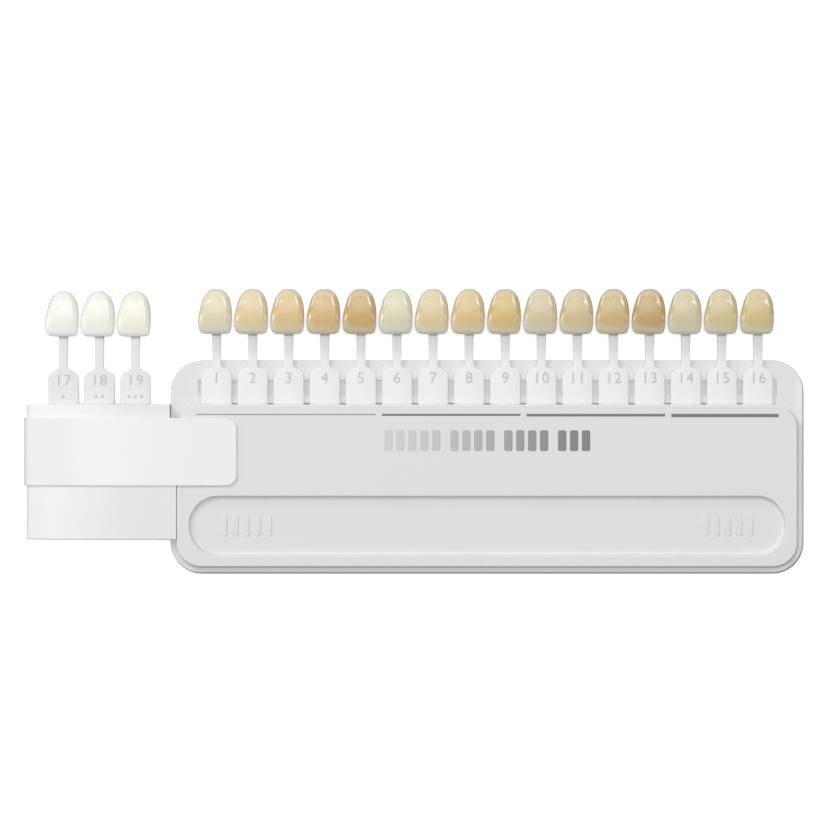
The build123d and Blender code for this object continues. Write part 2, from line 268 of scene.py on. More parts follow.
def enamelGroup(look):
    # a warm core under glassy enamel: paler towards the neck, partly as painted reflection, grey-blue at the biting
    # edge, with painted highlight lines along the ridges
    group, start, end = newGroup(
        "enamel",
        [("Place", "NodeSocketVector", None), ("Body", "NodeSocketColor", (0.7, 0.6, 0.4, 1)),
         ("Neck", "NodeSocketColor", (0.8, 0.7, 0.5, 1)), ("Edge", "NodeSocketColor", (0.6, 0.6, 0.6, 1)),
         ("Edge Strength", "NodeSocketFloat", 0.6), ("Painted Glint Strength", "NodeSocketFloat", 0.5)],
        [("Colour", "NodeSocketColor"), ("Roughness", "NodeSocketFloat"), ("Ripple", "NodeSocketFloat")])
    split = group.nodes.new("ShaderNodeSeparateXYZ")
    group.links.new(start.outputs["Place"], split.inputs[0])
    across, height = split.outputs["X"], split.outputs["Y"]
    cloud = addNoise(group, start.outputs["Place"], look["cloudScale"], look["cloudDetail"])
    along = addMath(group, "ADD", height, addDrift(group, cloud, look["cloudWander"]))
    # paler towards the neck and a pale cap there: partly the sample's own tone, partly painted reflection of the
    # lamps above
    neck = addRange(group, along, *look["neckRise"])
    tone = addMix(group, neck, start.outputs["Body"], start.outputs["Neck"])
    cap = addMath(group, "MULTIPLY", addRange(group, along, *look["capRise"]), look["capShare"])
    tone = addMix(group, cap, tone, look["capTone"])
    # three faint lobes of the core reach down into the biting edge
    turn = addMath(group, "MULTIPLY", across, look["lobeTurn"])
    lobes = addMath(group, "MULTIPLY", addMath(group, "COSINE", turn), look["lobeReach"])
    side = addMath(group, "POWER", addMath(group, "ABSOLUTE", across), 4.0)
    rim = addMath(group, "ADD", addMath(group, "MULTIPLY", side, look["edgeSideRise"]), look["edgeHeight"])
    lean = addMath(group, "MULTIPLY", across, look["edgeTurn"])
    border = addMath(group, "ADD", addMath(group, "ADD", rim, lean), lobes)
    low = addMath(group, "MULTIPLY", border, look["edgeStart"])
    clear = addMath(group, "SUBTRACT", 1.0, addRange(group, along, low, border))
    share = addMath(group, "MULTIPLY", clear, start.outputs["Edge Strength"], clamp=True)
    tone = addMix(group, share, tone, start.outputs["Edge"])
    # painted highlight: thin pale glint lines along the two ridges, open in the middle
    line = addMath(group, "SUBTRACT", look["ridgeFoot"], addMath(group, "MULTIPLY", along, look["ridgeLean"]))
    off = addMath(group, "ABSOLUTE", addMath(group, "SUBTRACT", addMath(group, "ABSOLUTE", across), line))
    near = addMath(group, "SUBTRACT", 1.0, addRange(group, off, *look["ridgeFade"]))
    lower = addMath(group, "MULTIPLY", addWindow(group, height, look["lowerGlint"]), look["lowerShare"])
    reach = addMath(group, "ADD", addWindow(group, height, look["upperGlint"]), lower)
    glint = addMath(group, "MULTIPLY", near, reach)
    glint = addMath(group, "MULTIPLY", glint, start.outputs["Painted Glint Strength"], clamp=True)
    tone = addMix(group, glint, tone, look["glintTone"])
    shade = group.nodes.new("ShaderNodeHueSaturation")
    group.links.new(addMath(group, "ADD", addDrift(group, cloud, look["mottle"]), 1.0), shade.inputs["Value"])
    group.links.new(tone, shade.inputs["Color"])
    # fine growth lines across the front
    wave = group.nodes.new("ShaderNodeTexWave")
    wave.bands_direction = "Y"
    wave.inputs["Scale"].default_value = look["rippleScale"]
    wave.inputs["Distortion"].default_value = look["rippleBend"]
    wave.inputs["Detail"].default_value = look["rippleDetail"]
    group.links.new(start.outputs["Place"], wave.inputs["Vector"])
    ripple = addMath(group, "MULTIPLY", wave.outputs["Fac"], addRange(group, height, *look["rippleRise"]))
    gloss = addMath(group, "ADD", look["gloss"], addMath(group, "MULTIPLY", cloud, look["glossDrift"]))
    group.links.new(shade.outputs["Color"], end.inputs["Colour"])
    group.links.new(gloss, end.inputs["Roughness"])
    group.links.new(ripple, end.inputs["Ripple"])
    return group


plasticEffect = mouldedPlasticGroup(mouldLook)
enamelEffect = enamelGroup(enamelLook)


# materials

def startMaterial(name):
    material = bpy.data.materials.new(name)
    material.use_nodes = True
    tree = material.node_tree
    shader = tree.nodes["Principled BSDF"]
    return material, tree, shader


def addBump(tree, shader, height, distance, strength):
    bump = tree.nodes.new("ShaderNodeBump")
    bump.inputs["Distance"].default_value = distance
    bump.inputs["Strength"].default_value = strength
    tree.links.new(height, bump.inputs["Height"])
    tree.links.new(bump.outputs["Normal"], shader.inputs["Normal"])


def bandShare(tree, coordinate, span, amount):
    # a share that grows from the first end of a span to the second
    grow = addRange(tree, coordinate, min(span), max(span))
    if span[0] > span[1]:
        grow = addMath(tree, "SUBTRACT", 1.0, grow)
    return addMath(tree, "MULTIPLY", grow, amount)


def addVectorMath(tree, operation, first, second=None):
    node = tree.nodes.new("ShaderNodeVectorMath")
    node.operation = operation
    tree.links.new(first, node.inputs[0])
    if isinstance(second, tuple):
        node.inputs[1].default_value = second
    elif second is not None:
        tree.links.new(second, node.inputs[1])
    return node.outputs["Value" if operation in ("LENGTH", "DOT_PRODUCT") else "Vector"]


# where an edge line fades: inside its outline, past it, and down from the face that it rims
edgeLine = {"soft": 0.5, "past": (0.2 * mm, 0.4 * mm), "under": (0.5 * mm, 0.3 * mm), "shadedSide": (0.7, -1)}


def edgeShade(tree, place, height, outline):
    # a painted line inside a rounded outline: painted shade towards the low right and painted highlight towards the
    # top left, as lamps at the top left would light the rounded edge
    (left, low), (right, top) = outline["box"]
    radius, width, face = outline["radius"], outline["width"], outline["face"]
    off = addVectorMath(tree, "SUBTRACT", place, ((left + right) / 2, (low + top) / 2, 0))
    corner = ((right - left) / 2 - radius, (top - low) / 2 - radius, 0)
    past = addVectorMath(tree, "SUBTRACT", addVectorMath(tree, "ABSOLUTE", off), corner)
    past = addVectorMath(tree, "MULTIPLY", addVectorMath(tree, "MAXIMUM", past, (0, 0, 0)), (1, 1, 0))
    reach = addVectorMath(tree, "LENGTH", past)
    line = addRange(tree, reach, radius - width, radius - edgeLine["soft"] * width)
    outside = addRange(tree, reach, *[radius + step for step in edgeLine["past"]])
    atFace = addRange(tree, height, *[face - step for step in edgeLine["under"]])
    line = addMath(tree, "MULTIPLY", addMath(tree, "SUBTRACT", line, outside), atFace)
    turned = addVectorMath(tree, "MULTIPLY", past, addVectorMath(tree, "SIGN", off))
    lean = addVectorMath(tree, "DOT_PRODUCT", turned, (*[part / radius for part in edgeLine["shadedSide"]], 0))
    dark = addMath(tree, "MULTIPLY", addMath(tree, "MAXIMUM", lean, 0), outline["dark"])
    pale = addMath(tree, "MULTIPLY", addMath(tree, "MINIMUM", lean, 0), outline["pale"])
    return addMath(tree, "MULTIPLY", line, addMath(tree, "ADD", dark, pale))


def regionShare(tree, split, share, region):
    # keeps a share only between the two places given on each axis
    for axis, (least, most) in region.items():
        over = addMath(tree, "GREATER_THAN", split.outputs[axis], least)
        under = addMath(tree, "LESS_THAN", split.outputs[axis], most)
        share = addMath(tree, "MULTIPLY", share, addMath(tree, "MULTIPLY", over, under))
    return share


def plasticShading(tree, look):
    # adds up the painted edge lines and spans: a positive amount darkens as painted shade, a negative one lightens
    # as painted light
    place = tree.nodes.new("ShaderNodeTexCoord").outputs["Object"]
    split = tree.nodes.new("ShaderNodeSeparateXYZ")
    tree.links.new(place, split.inputs[0])
    shares = [edgeShade(tree, place, split.outputs["Z"], outline) for outline in look.get("outlines", ())]
    for axis, first, second, amount, *regions in look["spans"]:
        share = bandShare(tree, split.outputs[axis], (first, second), amount)
        for region in regions:
            share = regionShare(tree, split, share, region)
        shares.append(share)
    total = shares[0]
    for share in shares[1:]:
        total = addMath(tree, "ADD", total, share)
    return total


def plasticMaterial(name, look):
    material, tree, shader = startMaterial(name)
    effect = tree.nodes.new("ShaderNodeGroup")
    effect.node_tree = plasticEffect
    effect.inputs["Tone"].default_value = (*toLinear(look["tone"]), 1)
    effect.inputs["Drift"].default_value = look["drift"]
    effect.inputs["Grain Size"].default_value = look["grainSize"]
    effect.inputs["Gloss"].default_value = look["gloss"]
    # the painted shade and painted light lower or lift the plastic's tone
    if "spans" in look:
        tree.links.new(plasticShading(tree, look), effect.inputs["Shading"])
    tree.links.new(effect.outputs["Colour"], shader.inputs["Base Color"])
    tree.links.new(effect.outputs["Roughness"], shader.inputs["Roughness"])
    shader.inputs["Specular IOR Level"].default_value = look["shine"]
    addBump(tree, shader, effect.outputs["Grain"], look["grainDepth"], look["grainStrength"])
    return material


# sizes of the holder's solids that no box gives
holderForm = {"bedFace": 4.6 * mm, "corner": 8.1 * mm, "grooveCorner": 7.7 * mm, "grooveEnd": 3.2 * mm,
              "grooveRise": 10.85 * mm, "grooveTop": -7.6 * mm, "troughReach": 76.2 * mm,
              "troughSpan": (18.0 * mm, 23.0 * mm), "stemAbovePanel": 10 * mm}

panelLow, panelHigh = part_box("front_panel")
holderBox = [corner[:2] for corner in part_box("rear_shell")]
panelBox = [panelLow[:2], panelHigh[:2]]
stemRoot = panelHigh[1] + holderForm["stemAbovePanel"]
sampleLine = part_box("tooth_01")[0][1]
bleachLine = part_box("bleach_tooth_1")[0][1]
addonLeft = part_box("addon_front_shell")[0][0]
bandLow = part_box("clip_band")[0][1]
panelCorner = holderForm["corner"] - (holderBox[1][0] - panelHigh[0])
grooveTop = holderForm["grooveTop"]
grooveCorner = holderForm["grooveCorner"]
grooveReach = panelHigh[0] - holderForm["grooveEnd"]
grooveMiddle = panelLow[1] + holderForm["grooveRise"]
grooveBox = ((-grooveReach, grooveMiddle - grooveCorner), (grooveReach, grooveMiddle + grooveCorner))
trough = {"X": (-holderForm["troughReach"], holderForm["troughReach"]), "Y": holderForm["troughSpan"]}
groove = {"Z": (0, panelHigh[2] - 0.3 * mm)}

# spans run along an axis from a first place to a second, with an amount and maybe a region; the spans and outlines
# are painted shade and painted light
plasticLooks = {
    # holder: painted shade and highlight along the rim's rounded outer edge, and painted light lifting the rim
    # below and right of the panel and the trough floor between the tabs, where the panel and tabs shade them
    "holderPlastic": {"tone": (0.872, 0.873, 0.875), "drift": 0.02, "grainSize": 5200.0, "gloss": 0.46,
                      "shine": 0.35, "grainDepth": 0.01 * mm, "grainStrength": 0.25,
                      "outlines": [{"box": holderBox, "radius": holderForm["corner"], "width": 0.5 * mm,
                                    "dark": 0.75, "pale": 0.02, "face": holderForm["bedFace"]}],
                      "spans": [("Y", panelLow[1] + 1 * mm, panelLow[1] - 0.3 * mm, -0.12),
                                ("X", panelHigh[0] - 1 * mm, panelHigh[0] + 0.3 * mm, -0.07),
                                ("Z", 4.4 * mm, 4.0 * mm, -0.12, trough)]},
    # panel: painted shade and highlight along its rounded edge, a painted highlight on the groove's lower lip,
    # painted shade under the groove's upper edge, and painted shade deepening slightly towards the bottom
    "panelPlastic": {"tone": (0.868, 0.869, 0.871), "drift": 0.02, "grainSize": 5200.0, "gloss": 0.46,
                     "shine": 0.35, "grainDepth": 0.01 * mm, "grainStrength": 0.25,
                     "outlines": [{"box": panelBox, "radius": panelCorner, "width": 0.5 * mm,
                                   "dark": 0.42, "pale": 0.12, "face": panelHigh[2]},
                                  {"box": grooveBox, "radius": grooveCorner, "width": 1.1 * mm,
                                   "dark": -0.1, "pale": 0, "face": 0}],
                     "spans": [("Y", grooveTop - 5 * mm, grooveTop - 0.6 * mm, 0.05, groove),
                               ("Y", 0, -25 * mm, 0.012)]},
    # add-on holder: painted light, paler towards its curved left end, with painted shade at its very tip and just
    # under the band
    "addonPlastic": {"tone": (0.953, 0.954, 0.955), "drift": 0.015, "grainSize": 5200.0, "gloss": 0.42,
                     "shine": 0.35, "grainDepth": 0.01 * mm, "grainStrength": 0.2,
                     "spans": [("X", addonLeft, addonLeft + 34 * mm, 0.125),
                               ("X", addonLeft + 7 * mm, addonLeft + 2 * mm, 0.03),
                               ("Y", bandLow + 1 * mm, bandLow - 1 * mm, 0.025)]},
    # band: painted shade along its curve, darker towards its left bend and towards its flat right part
    "bandPlastic": {"tone": (0.938, 0.939, 0.941), "drift": 0.015, "grainSize": 6000.0, "gloss": 0.38,
                    "shine": 0.4, "grainDepth": 0.008 * mm, "grainStrength": 0.2,
                    "spans": [("X", addonLeft + 17 * mm, addonLeft + 7 * mm, 0.035),
                              ("X", addonLeft + 22 * mm, addonLeft + 46 * mm, 0.045)]},
    # tabs: painted shade deepening up the stem towards the sample, and a narrow painted shadow just under the
    # sample's biting edge
    "tabPlastic": {"tone": (0.922, 0.923, 0.925), "drift": 0.015, "grainSize": 6500.0, "gloss": 0.36,
                   "shine": 0.4, "grainDepth": 0.006 * mm, "grainStrength": 0.2,
                   "spans": [("Y", stemRoot, sampleLine - 2 * mm, 0.2),
                             ("Y", sampleLine - 0.5 * mm, sampleLine - 0.3 * mm, 0.25)]},
    # bleached tabs: the same painted shade on the stem and painted shadow under the sample
    "bleachTabPlastic": {"tone": (0.893, 0.894, 0.896), "drift": 0.015, "grainSize": 6500.0, "gloss": 0.36,
                         "shine": 0.4, "grainDepth": 0.006 * mm, "grainStrength": 0.2,
                         "spans": [("Y", stemRoot, bleachLine - 2 * mm, 0.04),
                                   ("Y", bleachLine - 0.55 * mm, bleachLine - 0.3 * mm, 0.3)]},
    # engraved marks: the cut's floors and walls take a darker tone, painted shade in the engraving
    "engravingPaintedShade": {"tone": (0.79, 0.791, 0.794), "drift": 0.03, "grainSize": 7000.0, "gloss": 0.55,
                     "shine": 0.2, "grainDepth": 0.01 * mm, "grainStrength": 0.4},
}
plastics = {name: plasticMaterial(name, look) for name, look in plasticLooks.items()}


printLook = {"light": (0.80, 0.802, 0.806), "dark": (0.50, 0.505, 0.51), "rampHalf": 28 * mm,
             "barLine": 11.5 * mm, "firstBar": (0.61, 0.614, 0.62), "otherBars": (0.47, 0.475, 0.482),
             "barSplit": (-29.6 * mm, -27.6 * mm), "speckScale": 3500.0, "speckDetail": 2.0,
             "wearSpan": (0.3, 0.7), "wear": 0.06, "wornTone": (0.9, 0.9, 0.9), "roughness": 0.55, "shine": 0.25}


def printMaterial(look):
    # ink: a pale bar, three dark ones, and legend blocks that step from pale to dark along the row
    material, tree, shader = startMaterial("printInk")
    place = tree.nodes.new("ShaderNodeTexCoord").outputs["Object"]
    split = tree.nodes.new("ShaderNodeSeparateXYZ")
    tree.links.new(place, split.inputs[0])
    ramp = addRange(tree, split.outputs["X"], -look["rampHalf"], look["rampHalf"])
    ink = addMix(tree, ramp, toLinear(look["light"]), toLinear(look["dark"]))
    isBar = addMath(tree, "GREATER_THAN", split.outputs["Y"], look["barLine"])
    other = addRange(tree, split.outputs["X"], *look["barSplit"])
    bar = addMix(tree, other, toLinear(look["firstBar"]), toLinear(look["otherBars"]))
    ink = addMix(tree, isBar, ink, bar)
    speck = addNoise(tree, place, look["speckScale"], look["speckDetail"])
    worn = addRange(tree, speck, *look["wearSpan"], look["wear"])
    tree.links.new(addMix(tree, worn, ink, toLinear(look["wornTone"])), shader.inputs["Base Color"])
    shader.inputs["Roughness"].default_value = look["roughness"]
    shader.inputs["Specular IOR Level"].default_value = look["shine"]
    return material


def enamelMaterial(name, body, edgeTone, centre, halfWidth, length, look):
    material, tree, shader = startMaterial(name)
    mapping = tree.nodes.new("ShaderNodeMapping")
    mapping.inputs["Scale"].default_value = (1 / halfWidth, 1 / length, 1 / length)
    mapping.inputs["Location"].default_value = (-centre.x / halfWidth, -centre.y / length, -centre.z / length)
    tree.links.new(tree.nodes.new("ShaderNodeTexCoord").outputs["Object"], mapping.inputs["Vector"])
    effect = tree.nodes.new("ShaderNodeGroup")
    effect.node_tree = enamelEffect
    tree.links.new(mapping.outputs["Vector"], effect.inputs["Place"])
    neck = mixTone(body, look["neckTone"], look["neckMix"])
    edge = mixTone(body, edgeTone, look["edgeMix"])
    effect.inputs["Body"].default_value = (*toLinear(body), 1)
    effect.inputs["Neck"].default_value = (*toLinear(neck), 1)
    effect.inputs["Edge"].default_value = (*toLinear(edge), 1)
    effect.inputs["Edge Strength"].default_value = look["edgeStrength"]
    effect.inputs["Painted Glint Strength"].default_value = look["glintStrength"]
    tree.links.new(effect.outputs["Colour"], shader.inputs["Base Color"])
    tree.links.new(effect.outputs["Roughness"], shader.inputs["Roughness"])
    shader.inputs["IOR"].default_value = look["ior"]
    shader.inputs["Coat Weight"].default_value = look["coat"]
    shader.inputs["Coat Roughness"].default_value = look["coatRoughness"]
    shader.inputs["Subsurface Weight"].default_value = look["glow"]
    shader.inputs["Subsurface Scale"].default_value = look["glowScale"]
    shader.inputs["Subsurface Radius"].default_value = look["glowRadius"]
    addBump(tree, shader, effect.outputs["Ripple"], look["rippleDepth"], look["rippleStrength"])
    return material


# holder, add-on holder and band keep their solids and take a finish

def finishNodes(names, material):
    for name in names:
        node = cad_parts[name]
        node.data.materials.clear()
        node.data.materials.append(material)


finishNodes(["rear_shell"], plastics["holderPlastic"])
finishNodes(["front_panel"], plastics["panelPlastic"])
finishNodes(["addon_front_shell", "addon_rear_shell"], plastics["addonPlastic"])
finishNodes(["clip_band"], plastics["bandPlastic"])
finishNodes(["printed_marks"], printMaterial(printLook))
print("holder finished")


# tabs

# places above the panel are measured from the panel's top edge
tabShape = {
    "stemWidth": 2.3 * mm, "shoulderAbovePanel": 8.6 * mm, "shoulderDrop": 1.32 * mm,
    "shoulderRound": 1.3 * mm, "rootRound": 0.5 * mm, "heelRound": 0.9 * mm, "roundSteps": 6,
    "edgeRound": 0.16 * mm, "edgeSteps": 3, "edgeAngle": 50, "smoothAngle": 28,
    "crown": 0.24 * mm, "crownPlanes": 9,
    "facetStart": (-1.15 * mm, 9.4 * mm), "facetEnd": (2.6 * mm, -0.4 * mm), "facetTop": 10.4 * mm,
    "facetSlope": 0.18, "facetBlend": 0.3 * mm,
    "markHeight": 2.9 * mm, "markDepth": 0.16 * mm, "markAbovePanel": 6.75 * mm, "markSteps": 4,
    "letterScale": 1.38, "letterSpace": 1.12,
    "dotRadius": 0.42 * mm, "dotSides": 20, "dotPitch": 1.6 * mm, "dotAbovePanel": 2.6 * mm,
}
firstBleachNumber = len(tabNames) + 1
panelTop = panelHigh[1]


def modelTab(shape):
    low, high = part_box("tab_01")
    half = (high[0] - low[0]) / 2
    thick = high[2] - low[2]
    shoulder = panelTop + shape["shoulderAbovePanel"]
    root = shoulder + shape["shoulderDrop"]
    stemHalf = shape["stemWidth"] / 2
    clearSelection()
    bpy.ops.mesh.primitive_cube_add(size=1, location=(0, (low[1] + shoulder) / 2, thick / 2))
    tab = bpy.context.object
    tab.name = "tabPattern"
    tab.scale = (2 * half, shoulder - low[1], thick)
    bpy.ops.object.transform_apply(location=True, rotation=True, scale=True)
    bpy.ops.object.mode_set(mode="EDIT")
    # sloping shoulders, then the stem
    selectWhere(tab, "FACE", lambda c, f: c.y > shoulder - touch)
    bpy.ops.mesh.extrude_region_move(TRANSFORM_OT_translate={"value": (0, root - shoulder, 0)})
    bpy.ops.transform.resize(value=(stemHalf / half, 1, 1), center_override=(0, root, thick / 2))
    bpy.ops.mesh.extrude_region_move(TRANSFORM_OT_translate={"value": (0, high[1] - root, 0)})
    # round the upright edges of the shoulders, the stem's root and the heel
    def upright(c, e, x, y):
        tall = abs(e.verts[0].co.z - e.verts[1].co.z) > thick / 2
        return tall and abs(abs(c.x) - x) < 10 * touch and abs(c.y - y) < 10 * touch
    for x, y, size in ((half, shoulder, shape["shoulderRound"]), (stemHalf, root, shape["rootRound"]),
                       (half, low[1], shape["heelRound"])):
        selectWhere(tab, "EDGE", lambda c, e: upright(c, e, x, y))
        bpy.ops.mesh.bevel(offset=size, offset_type="OFFSET", segments=shape["roundSteps"], affect="EDGES")
    bpy.ops.object.mode_set(mode="OBJECT")
    edge = tab.modifiers.new("edge", "BEVEL")
    edge.width = shape["edgeRound"]
    edge.segments = shape["edgeSteps"]
    edge.angle_limit = math.radians(shape["edgeAngle"])
    applyModifiers(tab)
    # cuts across the handle give the crown and the slanting facet their vertices
    bpy.ops.object.mode_set(mode="EDIT")
    count = shape["crownPlanes"]
    for i in range(1, count):
        x = -half + 2 * half * i / count
        bpy.ops.mesh.select_all(action="SELECT")
        bpy.ops.mesh.bisect(plane_co=(x, 0, 0), plane_no=(1, 0, 0))
    foot, out = facetLine(shape)
    for shift in (0, shape["facetBlend"]):
        bpy.ops.mesh.select_all(action="SELECT")
        bpy.ops.mesh.bisect(plane_co=foot + out * shift, plane_no=out)
    bpy.ops.object.mode_set(mode="OBJECT")
    for vertex in tab.data.vertices:
        if vertex.co.z > thick / 2:
            vertex.co.z -= handleDrop(shape, vertex.co, half)
    return tab


def facetLine(shape):
    # a point on the slanting line across the handle, and the way it falls
    startX, startY = shape["facetStart"]
    endX, endY = shape["facetEnd"]
    along = Vector((endX - startX, endY - startY, 0)).normalized()
    return Vector((startX, startY + panelTop, 0)), Vector((-along.y, along.x, 0))


def handleDrop(shape, place, half):
    # how far the handle's face lies under its middle line
    drop = shape["crown"] * (place.x / half) ** 2
    foot, out = facetLine(shape)
    beyond = (Vector((place.x, place.y, 0)) - foot).dot(out)
    if place.y < panelTop + shape["facetTop"] and beyond > 0:
        drop += shape["facetSlope"] * max(beyond - shape["facetBlend"] / 2, beyond / 2)
    return drop


def markCutter(text, shape, y):
    clearSelection()
    bpy.ops.object.text_add(location=(0, 0, 0))
    mark = bpy.context.object
    mark.data.body = text
    mark.data.align_x = "CENTER"
    mark.data.align_y = "CENTER"
    mark.data.size = shape["markHeight"] * shape["letterScale"]
    mark.data.space_character = shape["letterSpace"]
    mark.data.extrude = shape["markDepth"]
    mark.data.resolution_u = shape["markSteps"]
    bpy.ops.object.convert(target="MESH")
    mark = bpy.context.object
    mark.data.transform(Matrix.Translation((0, y, 0)))
    return mark


def dotCutters(count, shape, y):
    dots = []
    for k in range(count):
        x = shape["dotPitch"] * (k - (count - 1) / 2)
        clearSelection()
        bpy.ops.mesh.primitive_cylinder_add(vertices=shape["dotSides"], radius=shape["dotRadius"],
                                            depth=2 * shape["markDepth"], location=(x, y, 0))
        bpy.ops.object.transform_apply(location=True, rotation=True, scale=True)
        dots.append(bpy.context.object)
    return dots


def engrave(tab, cutter, shift, half):
    # the cutter follows the handle's face, so the mark is as deep all over
    for vertex in cutter.data.vertices:
        vertex.co.z -= handleDrop(tabShape, vertex.co, half)
    cutter.data.transform(Matrix.Translation(shift))
    # the cut's faces take the darker engraving tone, painted shade in the mark
    cutter.data.materials.clear()
    cutter.data.materials.append(plastics["engravingPaintedShade"])
    cut = tab.modifiers.new("mark", "BOOLEAN")
    cut.object = cutter
    cut.operation = "DIFFERENCE"
    cut.solver = "EXACT"
    cut.material_mode = "TRANSFER"
    applyModifiers(tab)
    bpy.data.objects.remove(cutter)


def finishTab(pattern, node, body, text, dots, plastic):
    low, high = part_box(node)
    x, y = (low[0] + high[0]) / 2, low[1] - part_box("tab_01")[0][1]
    tab = copyAt(pattern, "shaded_" + node, (x, y, low[2]))
    tab.data.materials.append(plastics[plastic])
    cutters = [markCutter(text, tabShape, panelTop + tabShape["markAbovePanel"])]
    cutters += dotCutters(dots, tabShape, panelTop + tabShape["dotAbovePanel"])
    for cutter in cutters:
        engrave(tab, cutter, (x, y, high[2]), (high[0] - low[0]) / 2)
    makeActive(tab)
    bpy.ops.object.shade_smooth_by_angle(angle=math.radians(tabShape["smoothAngle"]))
    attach(tab, body)
    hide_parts(node)


tabPattern = modelTab(tabShape)
for index, label in enumerate(tabNames):
    finishTab(tabPattern, "tab_" + label, "shade_tab_" + label, str(index + 1), 0, "tabPlastic")
for index, label in enumerate(bleachNames):
    finishTab(tabPattern, "bleach_tab_" + label, "bleached_tab_" + label, str(firstBleachNumber + index),
              index + 1, "bleachTabPlastic")
bpy.data.objects.remove(tabPattern)
print("tabs modelled")


# tooth samples

# rings in mm: height over the biting edge, reach to the left and to the right, reach in front of
# and behind the tab's face, and how square the front is
toothShape = {
    "rings": [
        (0.06, 3.3, 2.85, 0.84, -0.12, 2.4),
        (0.36, 4.0, 3.45, 1.26, 0.0, 2.6),
        (1.0, 4.52, 3.78, 1.68, 0.15, 2.9),
        (2.2, 4.76, 3.98, 2.08, 0.45, 3.0),
        (3.7, 4.79, 4.05, 2.46, 0.95, 2.9),
        (5.5, 4.56, 4.05, 2.7, 1.55, 2.7),
        (7.2, 4.14, 3.98, 2.8, 2.0, 2.5),
        (8.5, 3.82, 3.72, 2.72, 2.15, 2.3),
        (9.5, 3.46, 3.42, 2.44, 2.15, 2.15),
        (10.4, 3.0, 2.98, 2.04, 1.95, 2.1),
        (11.2, 2.24, 2.2, 1.5, 1.6, 2.0),
        (11.75, 1.35, 1.3, 0.9, 1.15, 2.0),
    ],
    "sides": 32, "backSquare": 2.1, "smoothLevels": 2,
    "edgeLift": 0.06 * mm, "neckLift": 0.1 * mm, "endShrink": 0.45,
}

# the front's relief: shares of the length, or of the half width
frontCarving = {
    "facing": (0.1, 0.6),
    "grooveDepth": 0.035 * mm, "grooveAt": 0.34, "grooveWidth": 0.13, "grooveSpan": (0.02, 0.2, 0.66, 0.84),
    "ridgeRise": 0.10 * mm, "ridgeAt": 0.70, "ridgeWidth": 0.08, "ridgeSpan": (0.12, 0.3, 0.82, 0.92),
    "ridgeLean": 0.10, "leanSpan": (0.5, 0.9),
    "neckStep": 0.14 * mm, "neckAt": 0.74, "neckBow": 0.07, "neckSoft": (-0.02, 0.03),
}


def modelTooth(shape, carving, length, bottom, face):
    rings = [[v * mm for v in ring[:5]] + [ring[5]] for ring in shape["rings"]]
    clearSelection()
    startRadius = 1 * mm
    bpy.ops.mesh.primitive_circle_add(vertices=shape["sides"], radius=startRadius, rotation=(math.pi / 2, 0, 0))
    tooth = bpy.context.object
    tooth.name = "toothPattern"
    bpy.ops.object.transform_apply(location=False, rotation=True, scale=True)
    bpy.ops.object.mode_set(mode="EDIT")
    bpy.ops.mesh.select_all(action="SELECT")
    now = (Vector((0, 0, 0)), startRadius, startRadius)
    for number, (v, left, right, front, back, _) in enumerate(rings):
        centre = Vector(((right - left) / 2, bottom + v, face + (front - back) / 2))
        halfX = (left + right) / 2
        halfZ = (front + back) / 2
        move = centre - now[0]
        if number == 0:
            bpy.ops.transform.translate(value=move)
        else:
            bpy.ops.mesh.extrude_edges_move(TRANSFORM_OT_translate={"value": move})
        bpy.ops.transform.resize(value=(halfX / now[1], 1, halfZ / now[2]), center_override=centre)
        now = (centre, halfX, halfZ)
    # close the neck end, then the biting edge
    for y, lift in ((bottom + rings[-1][0], shape["neckLift"]), (bottom + rings[0][0], -shape["edgeLift"])):
        selectWhere(tooth, "EDGE", lambda c, e: abs(c.y - y) < touch)
        bpy.ops.mesh.extrude_edges_move(TRANSFORM_OT_translate={"value": (0, lift, 0)})
        shrink = shape["endShrink"]
        bpy.ops.transform.resize(value=(shrink, 1, shrink), center_override=ringCentre(tooth))
        bpy.ops.mesh.edge_face_add()
        bpy.ops.mesh.poke()
    bpy.ops.mesh.select_all(action="SELECT")
    bpy.ops.mesh.normals_make_consistent(inside=False)
    bpy.ops.object.mode_set(mode="OBJECT")
    squareRings(tooth, rings, shape, bottom, face)
    smooth = tooth.modifiers.new("smooth", "SUBSURF")
    smooth.levels = smooth.render_levels = shape["smoothLevels"]
    applyModifiers(tooth)
    carveFront(tooth, rings, carving, length, bottom, face)
    makeActive(tooth)
    bpy.ops.object.shade_smooth()
    return tooth


def ringCentre(tooth):
    chosen = [v.co.copy() for v in bmesh.from_edit_mesh(tooth.data).verts if v.select]
    return sum(chosen, Vector()) / len(chosen)


def squareRings(tooth, rings, shape, bottom, face):
    # turns each oval ring into a rounder or squarer one
    for vertex in tooth.data.vertices:
        for v, left, right, front, back, square in rings:
            if abs(vertex.co.y - bottom - v) > touch:
                continue
            middle = Vector(((right - left) / 2, 0, face + (front - back) / 2))
            halfX = (left + right) / 2
            halfZ = (front + back) / 2
            x = (vertex.co.x - middle.x) / halfX
            z = (vertex.co.z - middle.z) / halfZ
            power = 2 / (square if z > 0 else shape["backSquare"])
            vertex.co.x = middle.x + halfX * math.copysign(min(abs(x), 1) ** power, x)
            vertex.co.z = middle.z + halfZ * math.copysign(min(abs(z), 1) ** power, z)


def ringAt(rings, v):
    # the reach to the left, right and front at a height between two rings
    upper = next((i for i, ring in enumerate(rings) if ring[0] > v), len(rings) - 1)
    lower = max(upper - 1, 0)
    span = max(rings[upper][0] - rings[lower][0], 1e-9)
    share = min(max((v - rings[lower][0]) / span, 0), 1)
    return [rings[lower][k] + (rings[upper][k] - rings[lower][k]) * share for k in (1, 2, 3)]


def windowAt(span, t):
    return smoothStep(span[0], span[1], t) * (1 - smoothStep(span[2], span[3], t))


